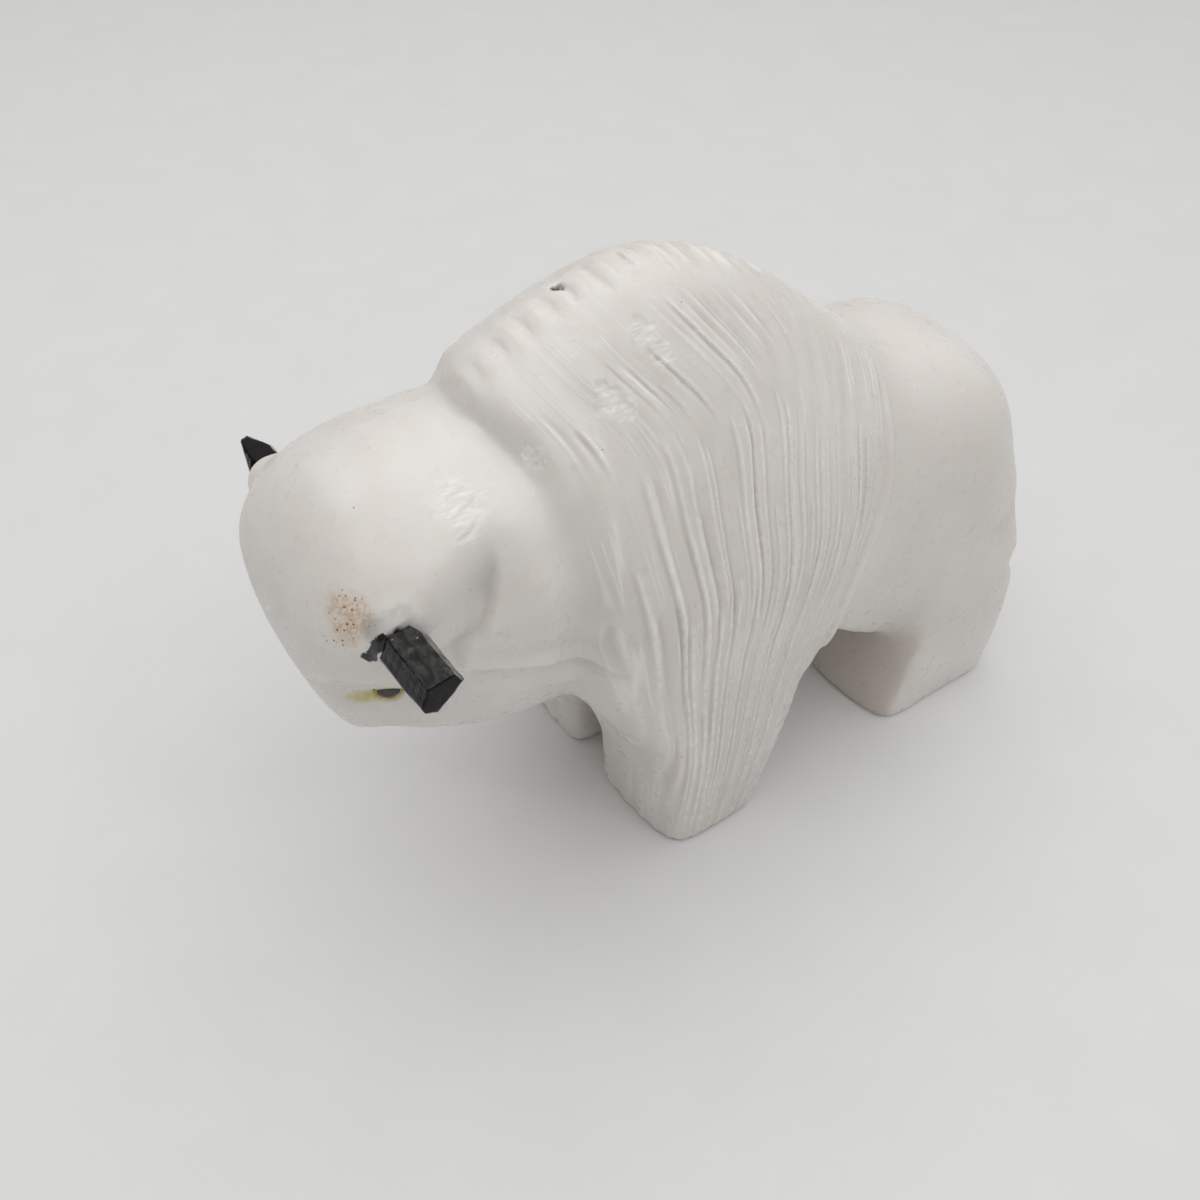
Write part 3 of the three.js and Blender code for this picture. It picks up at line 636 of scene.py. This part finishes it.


# %% White stone: clouds, stain, darker grooves, painted highlight on rims, painted shade
white = Finish("white_stone", (0.81, 0.78, 0.74), 0.34)
clouds = white.span(white.noise(46, 4), 0.38, 0.68)
colour = white.blend(clouds, (0.765, 0.733, 0.693), (0.822, 0.797, 0.764))
veins = white.span(white.noise(150, 5, white.stretched((1, 2.2, 1.5)), 0.6), 0.60, 0.72, 0, 0.35)
colour = white.blend(veins, colour, (0.86, 0.842, 0.818))
crest_line = filled((-9, 2, 75), (16, 2, 78), 7)
crest = white.maths("MULTIPLY", white.near(crest_line, 0.007, 0.005, 0.006, 260),
                    white.span(white.noise(330, 6), 0.42, 0.7, 0, 0.32))
colour = white.blend(crest, colour, (0.72, 0.64, 0.54))
# Grooves coloured darker and warmer by the depth of the cut.
cut = white.attribute("cut")
colour = white.blend(white.maths("MULTIPLY", cut, 0.55), colour, (0.66, 0.60, 0.545))
# Rims lightened: a painted highlight.
colour = white.blend(white.maths("MULTIPLY", white.attribute("rim"), 0.8), colour, (0.93, 0.92, 0.90))

# Painted shade on the front faces of the hind legs under the belly, partly also duller unrubbed stone.
colour = white.blend(white.maths("MULTIPLY", white.attribute("shade_and_unrubbed"), 0.6), colour, (0.56, 0.49, 0.42))

# %% White stone: fine bright lines along the locks, frost, and painted highlight on the chips
streak_place = white.nodes.new("ShaderNodeCombineXYZ")
white.join(white.attribute("lane"), streak_place.inputs[0])
split = white.nodes.new("ShaderNodeSeparateXYZ")
white.join(white.where, split.inputs[0])
white.join(white.maths("MULTIPLY", split.outputs["Z"], 24), streak_place.inputs[1])
white.join(white.maths("MULTIPLY", white.maths("SIGN", split.outputs["Y"], 0), 7), streak_place.inputs[2])
fine = white.noise(0.95, 2, streak_place.outputs[0], 0.4)
from_line = white.maths("ABSOLUTE", white.maths("SUBTRACT", fine, 0.5), 0)
scratch_lines = white.span(from_line, 0.0, 0.045, 1.0, 0.0)
scratch_lines = white.maths("MULTIPLY", scratch_lines, white.attribute("maned"))
scratch_lines = white.maths("MULTIPLY", scratch_lines, white.span(white.noise(110, 3), 0.42, 0.62))
colour = white.blend(white.maths("MULTIPLY", scratch_lines, 0.55), colour, (0.95, 0.94, 0.92))
# Frosted whitening in the poll gouges; round the first five chips the same whitening is a painted highlight.
frost_line = [(-20.5, -8.6, 66.3), (-22.2, -9.6, 65.8), (-19.8, -10.4, 65.2), (-21.4, -12.0, 64.2)]
frost_and_glint = white.maths("MAXIMUM", white.near(frost_line, 0.0021, 0.0012, 0.003, 500),
                    white.near([spot for spot, _, _ in CHIPS[:5]], 0.0017, 0.0003, 0.0014, 700))
frost_grain = white.span(white.noise(1500, 4, white.stretched((0.35, 1.6, 1.6)), 0.6), 0.46, 0.6)
frost_and_glint = white.maths("MULTIPLY", frost_and_glint, frost_grain)
colour = white.blend(white.maths("MULTIPLY", frost_and_glint, 0.6), colour, (0.96, 0.955, 0.945))

# %% White stone: specks
def specks(finish, cell, size, share, seed):
    node = finish.nodes.new("ShaderNodeTexVoronoi")
    node.inputs["Scale"].default_value = 1 / cell
    shifted = finish.nodes.new("ShaderNodeMapping")
    shifted.inputs["Location"].default_value = (seed, seed / 2, -seed)
    finish.join(finish.where, shifted.inputs["Vector"])
    finish.join(shifted.outputs["Vector"], node.inputs["Vector"])
    split = finish.nodes.new("ShaderNodeSeparateColor")
    finish.join(node.outputs["Color"], split.inputs[0])
    dot = finish.span(node.outputs["Distance"], 0.6 * size / cell, size / cell, 1.0, 0.0)
    return finish.maths("MULTIPLY", dot, finish.span(split.outputs[0], 1 - share - 0.01, 1 - share + 0.01))


colour = white.blend(white.maths("MULTIPLY", specks(white, 0.0042, 0.00013, 0.3, 0.3), 0.75), colour,
                     (0.16, 0.13, 0.11))
forehead = white.near([(-36, -4, 58), (-33, 2, 62), (-38, 4, 52)], 0.013, 0.005, 0.004)
dots = white.maths("MULTIPLY", specks(white, 0.0024, 0.00016, 0.45, 0.7), forehead)
colour = white.blend(dots, colour, (0.33, 0.2, 0.11))

# %% White stone: rust, grey polish and glue by the horn
rust_line = [(-34.9, -10.8, 60.2), (-34.3, -11.6, 59.9), (-33.8, -12.6, 59.3), (-34.9, -12.0, 58.4)]
rust = white.near(rust_line, 0.0017, 0.0014, 0.003, 700)
rust = white.maths("MULTIPLY", rust, white.span(white.noise(1900, 4), 0.36, 0.62, 0.25, 0.85))
colour = white.blend(rust, colour, (0.60, 0.42, 0.27))
rust_spots = rust_line + [(-36.1, -11.4, 57.6), (-34, -13.6, 58.2)]
rust_dots = white.maths("MULTIPLY", white.near(rust_spots, 0.0018, 0.0009, 0.002, 900),
                        specks(white, 0.0006, 0.00017, 0.6, 0.2))
colour = white.blend(rust_dots, colour, (0.22, 0.09, 0.035))
smudge = white.near(filled((-33, -14.1, 58.8), (-30.6, -15.6, 60.3), 4), 0.0016, 0.0008, 0.0014)
colour = white.blend(white.maths("MULTIPLY", smudge, 0.62), colour, (0.36, 0.35, 0.34))
glue = white.near(filled((-34.25, -14.3, 55.9), (-33.1, -15.5, 58.6), 8), 0.00082, 0.00012, 0.0014, 1000)
smears = white.near(filled((-32.2, -15.4, 58.9), (-29.9, -16.8, 59.2), 5), 0.00055, 0.0003, 0.0010, 1300)
glue = white.maths("MAXIMUM", glue, smears)
colour = white.blend(glue, colour, (0.012, 0.012, 0.014))

# %% White stone: amber round the eye, dark crest pit
for side in (-1, 1):
    ex, ey, ez = EYE[0], side * EYE[1], EYE[2]
    halo = white.near([(ex, ey, ez)], 0.0024, 0.0006, 0.0012, 800)
    tail_line = filled((ex - 0.6, ey, ez - 0.5), (ex - 4.2, ey * 0.93, ez - 0.7), 5)
    smear = white.near(tail_line, 0.0011, 0.0008, 0.0011, 900)
    amber = white.maths("MULTIPLY", white.maths("MAXIMUM", halo, smear), 0.72)
    colour = white.blend(amber, colour, (0.58, 0.47, 0.06))
pit = white.near([(-1.8, 1.4, 77.3)], 0.0008, 0.0003, 0.0008, 1400)
colour = white.blend(pit, colour, (0.09, 0.03, 0.015))
white.join(colour, white.shader.inputs["Base Color"])

# %% White stone: polish, grain and scatter
dull = white.span(white.noise(420, 4), 0.35, 0.7, 0.27, 0.46)
rough = white.maths("ADD", dull, white.maths("MULTIPLY", cut, 0.14))
rubbed = white.maths("MULTIPLY", white.attribute("rim"), 0.14)
shine = white.maths("ADD", white.maths("MULTIPLY", glue, 0.12), rubbed)
rough = white.maths("SUBTRACT", rough, shine)
white.join(rough, white.shader.inputs["Roughness"])
streaks = white.noise(1.5, 4, streak_place.outputs[0], 0.55)
streaks = white.maths("MULTIPLY", streaks, white.attribute("maned"))
normal = white.bump(streaks, 0.00017)
normal = white.bump(scratch_lines, 0.00005, normal)
normal = white.bump(white.noise(1500, 1), 0.000012, normal)
scuffs = white.noise(190, 3, white.stretched((0.6, 2.0, 1.5)), 0.5)
normal = white.bump(scuffs, 0.00006, normal)
white.join(normal, white.shader.inputs["Normal"])
white.shader.inputs["Subsurface Weight"].default_value = 0.55
white.shader.inputs["Subsurface Radius"].default_value = (1.0, 0.85, 0.68)
white.shader.inputs["Subsurface Scale"].default_value = 0.0022
body.data.materials.clear()
body.data.materials.append(white.material)
print("white stone", len(white.nodes), "nodes")


# %% [markdown]
# ## Horns of black stone
#
# Each horn is a stub of glassy black stone, knapped to a few broad facets. That is exactly
# what bisect does to a block: it cuts along a plane, throws away one side and fills the
# cut. So a box is cut plane by plane, its edges are broken with a small bevel, and the
# rough facet on top is roughened point by point. The left horn is blunt and broad; the
# right one is cut to a blunt point.

# %% Knap a block
def knap(name, middle, size, cuts):
    deselect()
    bpy.ops.mesh.primitive_cube_add(size=1, location=[v * MM for v in middle], scale=[v * MM for v in size])
    piece = bpy.context.object
    piece.name = piece.data.name = name
    settle(piece)
    for spot, normal in cuts:
        in_edit_mode(piece, lambda: bpy.ops.mesh.bisect(
            plane_co=[v * MM for v in spot], plane_no=normal, use_fill=True, clear_outer=True,
            threshold=1e-7))
    in_edit_mode(piece, lambda: bpy.ops.mesh.remove_doubles(threshold=2e-5),
                 lambda: bpy.ops.mesh.normals_make_consistent(inside=False))
    return piece


def ring_cuts(axis, corners, mirror=1):
    """Planes of a prism along y, from the corners of its section as (x, z) in mm."""
    centre = np.mean(corners, axis=0)
    for a, b in zip(corners, corners[1:] + corners[:1]):
        a, b = np.array(a), np.array(b)
        normal = np.array([(b - a)[1], -(b - a)[0]])
        if normal @ ((a + b) / 2 - centre) < 0:
            normal = -normal
        normal = normal / np.linalg.norm(normal)
        spot = (a + b) / 2 + axis
        yield (spot[0], mirror * -20, spot[1]), (normal[0], 0, normal[1])


# %% Left horn
E1, E2 = np.array([0.864, 0.502]), np.array([-0.502, 0.864])
SECTION = [(-3.2, -0.5), (-2.55, 1.0), (-0.15, 2.9), (3.1, 1.6), (3.0, -2.2), (-0.5, -3.2)]
corners = [tuple(a * E1 + b * E2) for a, b in SECTION]
left_cuts = list(ring_cuts(np.array([-54.9, 69.7]), corners))
left_cuts += [  # place in mm, way the facet faces
    ((-57.6, -22.24, 68.97), (-0.944, -0.025, -0.328)),
    ((-56.6, -25.69, 66.65), (-0.928, -0.075, -0.364)),
    ((-55.95, -28.45, 67.47), (-0.362, -0.664, -0.654)),
    ((-53.34, -28.43, 68.95), (0.428, -0.772, -0.470)),
    ((-52.42, -21.77, 72.22), (0.801, 0.258, 0.540)),
    ((-51.16, -24.7, 70.49), (0.946, -0.056, 0.320)),
    ((-50.95, -26.51, 69.09), (0.956, -0.237, 0.173))]
horn_left = knap("knapped_horn_left", (-54.5, -22.8, 69.9), (9, 12.6, 9), left_cuts)
print("left horn", len(horn_left.data.polygons), "facets")

# %% Right horn
RIGHT = [(-2.7, -0.8), (-2.2, 1.4), (0.2, 2.9), (3.0, 1.4), (2.6, -2.3), (-0.6, -3.0)]
corners = [tuple(a * E1 + b * E2) for a, b in RIGHT]
right_cuts = list(ring_cuts(np.array([-54.6, 69.8]), corners, -1))
right_cuts += [
    ((-52.49, 24.59, 71.08), (0.67, 0.31, 0.674)),
    ((-55.8, 24.27, 68.88), (-0.972, 0.234, -0.02)),
    ((-54.68, 26.69, 71.57), (-0.188, 0.607, 0.772)),
    ((-54.3, 28.2, 69.2), (0.05, 0.98, 0.1)),
    ((-53.2, 26.2, 67.6), (0.35, 0.42, -0.82))]
horn_right = knap("knapped_horn_right", (-54.5, 22.5, 69.9), (9, 12.2, 9), right_cuts)
print("right horn", len(horn_right.data.polygons), "facets")


# %% Break the edges and roughen the top
def break_edges(piece, offset):
    in_edit_mode(piece,
                 lambda: bpy.ops.mesh.bevel(offset=offset, segments=2, affect="EDGES", clamp_overlap=True),
                 lambda: bpy.ops.mesh.quads_convert_to_tris(),
                 lambda: bpy.ops.mesh.subdivide(number_cuts=5))
    apply_modifier(piece, "REMESH", mode="VOXEL", voxel_size=0.00013)
    apply_modifier(piece, "SMOOTH", factor=0.5, iterations=3)


def worn(piece, rough_side, seed):
    rng = np.random.default_rng(seed)
    co, normals = points_of(piece), points_of(piece, "normal")
    facing = smoothstep(normals @ np.array(rough_side), 0.86, 0.96)
    height = np.zeros(len(co))
    for size in (2.6, 1.2, 0.6):
        for _ in range(6):
            way = rng.normal(size=3)
            way /= np.linalg.norm(way)
            height += size * np.sin(co @ way / (size * MM) * 2 * pi + rng.uniform(0, 6)) / 18
    broken = 1 - smoothstep(np.abs(normals).max(axis=1), 0.90, 0.99)
    co += normals * ((0.13 * facing + 0.10 * broken) * height * MM)[:, None]
    set_points(piece, co)
    take(piece)
    bpy.ops.object.shade_smooth()
    write_attribute(piece, "rough_side", facing)


TOP_FACET = E2 * 0.93 + E1 * 0.37
TOP_FACET /= np.linalg.norm(TOP_FACET)
for piece, facet, seed in ((horn_left, (TOP_FACET[0], 0, TOP_FACET[1]), 1),
                           (horn_right, (-0.188, 0.607, 0.772), 2)):
    break_edges(piece, 0.00022)
    worn(piece, facet, seed)
    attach(piece, "root")
    print(piece.name, len(piece.data.polygons), "faces")
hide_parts("horn_left")
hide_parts("horn_right")

# %% [markdown]
# ## Black stone
#
# The broken faces of the horn are as glossy as glass and mirror the lamps in streaks. The
# top facet was only ground, so it is grey, mottled and matt, with a few bright grains.
# The eyes are cut from the same stone and polished.

# %% Black stone for the horns
black = Finish("black_stone", (0.012, 0.012, 0.014), 0.16)
mottle = black.span(black.noise(1300, 5, black.stretched((1, 0.4, 1)), 0.6), 0.36, 0.7)
ground = black.blend(mottle, (0.008, 0.009, 0.009), (0.055, 0.055, 0.05))
facing = black.attribute("rough_side")
colour = black.blend(black.span(facing, 0.2, 0.8), (0.002, 0.002, 0.003), ground)
grains = specks(black, 0.0008, 0.00012, 0.14, 0.1)
colour = black.blend(black.maths("MULTIPLY", grains, black.span(facing, 0.1, 0.9, 0.25, 0.9)), colour,
                     (0.42, 0.42, 0.40))
dust = black.span(black.noise(520, 6, None, 0.7), 0.55, 0.75, 0, 0.35)
colour = black.blend(black.maths("MULTIPLY", dust, facing), colour, (0.26, 0.25, 0.225))
black.join(colour, black.shader.inputs["Base Color"])
black.shader.inputs["Specular IOR Level"].default_value = 0.22
rough = black.span(facing, 0.2, 0.8, 0.06, 0.5)
rough = black.maths("ADD", rough, black.span(black.noise(700, 4), 0.5, 0.78, 0.0, 0.12))
black.join(rough, black.shader.inputs["Roughness"])
ripple = black.bump(black.noise(330, 2), 0.00018)
black.join(black.bump(black.maths("MULTIPLY", black.noise(3200, 3), facing), 0.00012, ripple),
           black.shader.inputs["Normal"])
for piece in (horn_left, horn_right):
    piece.data.materials.clear()
    piece.data.materials.append(black.material)
print("black stone", len(black.nodes), "nodes")

# %% Polished stone for the eyes
bead = Finish("eye_stone", (0.02, 0.018, 0.016), 0.2)
haze = bead.span(bead.noise(1400, 5), 0.42, 0.7)
bead.join(bead.blend(haze, (0.010, 0.009, 0.008), (0.045, 0.04, 0.035)), bead.shader.inputs["Base Color"])
bead.join(bead.span(bead.noise(900, 3), 0.4, 0.7, 0.18, 0.4), bead.shader.inputs["Roughness"])
bead.join(bead.bump(bead.noise(2600, 3), 0.00004), bead.shader.inputs["Normal"])
for name in ("eye_left", "eye_right"):
    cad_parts[name].data.materials.clear()
    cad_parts[name].data.materials.append(bead.material)
print("eyes", [round(v / MM, 1) for v in eye_centre], "mm")

# %% [markdown]
# ## Amber glue round the eyes
#
# Each eye is bedded in amber resin that has crept up round its rim. A ring is cut from a
# short tube that fills the slit round the eye: it is bevelled, then its outer lip is
# pushed about so that it reads as something poured and not turned.

# %% Amber rings
amber_finish = Finish("amber_glue", (0.46, 0.30, 0.06), 0.3)
amber_tone = amber_finish.span(amber_finish.noise(1500, 4), 0.35, 0.7)
amber_finish.join(amber_finish.blend(amber_tone, (0.30, 0.17, 0.03), (0.62, 0.45, 0.12)),
                  amber_finish.shader.inputs["Base Color"])
amber_grain = amber_finish.bump(amber_finish.noise(2200, 3), 0.00006)
amber_finish.join(amber_grain, amber_finish.shader.inputs["Normal"])
amber_finish.shader.inputs["Coat Weight"].default_value = 0.4


def eye_axis(node):
    """The way an eye faces: the outward normal that most of its surface shares."""
    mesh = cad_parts[node].data
    side = 1 if node.endswith("right") else -1
    normals = np.array([face.normal[:] for face in mesh.polygons])
    areas = np.array([face.area for face in mesh.polygons])
    shared = ((normals @ normals.T) > 0.999) @ areas * (normals[:, 1] * side > 0)
    return Vector(normals[int(np.argmax(shared))]).normalized()


for node in ("eye_left", "eye_right"):
    axis = eye_axis(node)
    low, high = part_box(node)
    centre = (Vector(low) + Vector(high)) / 2
    turn = axis.to_track_quat("Z", "Y").to_matrix().to_4x4()
    deselect()
    bpy.ops.mesh.primitive_cylinder_add(vertices=40, radius=1.78 * MM, depth=1.5 * MM,
                                        end_fill_type="NOTHING")
    ring = bpy.context.object
    ring.name = ring.data.name = "amber_ring_" + node[4:]
    apply_modifier(ring, "SOLIDIFY", thickness=0.25 * MM, offset=-1)
    in_edit_mode(ring, lambda: bpy.ops.mesh.normals_make_consistent(inside=False),
                 lambda: bpy.ops.mesh.subdivide(number_cuts=1),
                 lambda: bpy.ops.mesh.bevel(offset=0.06 * MM, segments=2))
    co = points_of(ring)
    around = np.arctan2(co[:, 1], co[:, 0])
    lip = smoothstep(co[:, 2], 0.3 * MM, 0.75 * MM)
    co[:, 2] += lip * (0.05 + 0.05 * np.sin(3 * around + 1) + 0.03 * np.sin(7 * around)) * MM
    set_points(ring, co)
    ring.matrix_world = Matrix.Translation(centre + axis * 0.06 * MM) @ turn
    settle(ring)
    take(ring)
    bpy.ops.object.shade_smooth()
    ring.data.materials.append(amber_finish.material)
    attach(ring, "root")
    print(ring.name, "faces", [round(v, 2) for v in axis])

# %% [markdown]
# ## Floor, light and camera
#
# The carving stands on plain pale paper in even studio light: a sky that is warm and dim
# low down and bright overhead, one broad soft lamp above, and a small lamp on the near
# side whose mirror image sparkles on the rims of the mane. The camera stands where the
# photograph was taken, close by and looking down.

# %% Floor
deselect()
bpy.ops.mesh.primitive_plane_add(size=4)
floor = bpy.context.object
floor.name = "floor"
floor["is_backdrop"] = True
paper = Finish("floor_paper", (0.765, 0.767, 0.765), 0.85)
fibre = paper.span(paper.noise(60, 5), 0.35, 0.7)
paper.join(paper.blend(fibre, (0.76, 0.762, 0.76), (0.773, 0.774, 0.773)), paper.shader.inputs["Base Color"])
paper.join(paper.bump(paper.noise(900, 3), 0.00003), paper.shader.inputs["Normal"])
paper.shader.inputs["Specular IOR Level"].default_value = 0.1
floor.data.materials.append(paper.material)


# %% Light
def soft_lamp(name, place, aim, size, power):
    data = bpy.data.lights.new(name, "AREA")
    data.shape = "DISK"
    data.size = size
    data.energy = power
    light = bpy.data.objects.new(name, data)
    bpy.context.scene.collection.objects.link(light)
    light.location = place
    light.rotation_euler = (Vector(aim) - Vector(place)).to_track_quat("-Z", "Y").to_euler()
    return light


soft_lamp("soft_top", (-0.04, 0.02, 0.66), (0, 0, 0), 1.1, 2.5)
soft_lamp("sparkle", (0.25, -0.75, 0.95), (0, 0, 0.05), 0.14, 0.42)
world = bpy.data.worlds.new("studio")
bpy.context.scene.world = world
world.use_nodes = True
sky = world.node_tree
around = sky.nodes.new("ShaderNodeTexCoord")
height = sky.nodes.new("ShaderNodeVectorMath")
height.operation = "DOT_PRODUCT"
height.inputs[1].default_value = (0.26, 0, 1)
sky.links.new(around.outputs["Generated"], height.inputs[0])
brighter = sky.nodes.new("ShaderNodeMapRange")
brighter.interpolation_type = "SMOOTHSTEP"
for name, number in (("From Min", 0.0), ("From Max", 0.9), ("To Min", 0.12), ("To Max", 0.70)):
    brighter.inputs[name].default_value = number
sky.links.new(height.outputs["Value"], brighter.inputs["Value"])
sky.links.new(brighter.outputs["Result"], sky.nodes["Background"].inputs["Strength"])
tint = sky.nodes.new("ShaderNodeMix")
tint.data_type = "RGBA"
tint.inputs[6].default_value = (1, 0.95, 0.89, 1)
tint.inputs[7].default_value = (0.985, 0.995, 1, 1)
sky.links.new(height.outputs["Value"], tint.inputs[0])
sky.links.new(tint.outputs[2], sky.nodes["Background"].inputs["Color"])
bpy.context.scene.view_settings.view_transform = "Standard"

# %% Camera
camera_data = bpy.data.cameras.new("camera")
camera = bpy.data.objects.new("camera", camera_data)
bpy.context.scene.collection.objects.link(camera)
camera_data.sensor_width = 36
camera_data.lens = 36 * 1200 / 1200
camera.location = place_of((-60.6, -91.2, 140.2))
azimuth, elevation = radians(-34.7), radians(44.4)
back = Vector((sin(azimuth) * cos(elevation), -cos(azimuth) * cos(elevation), sin(elevation)))
camera.rotation_euler = back.to_track_quat("Z", "Y").to_euler()
bpy.context.scene.camera = camera

# %% Size and finish
low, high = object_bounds()
print("visual box", [round(v, 4) for v in low], [round(v, 4) for v in high])
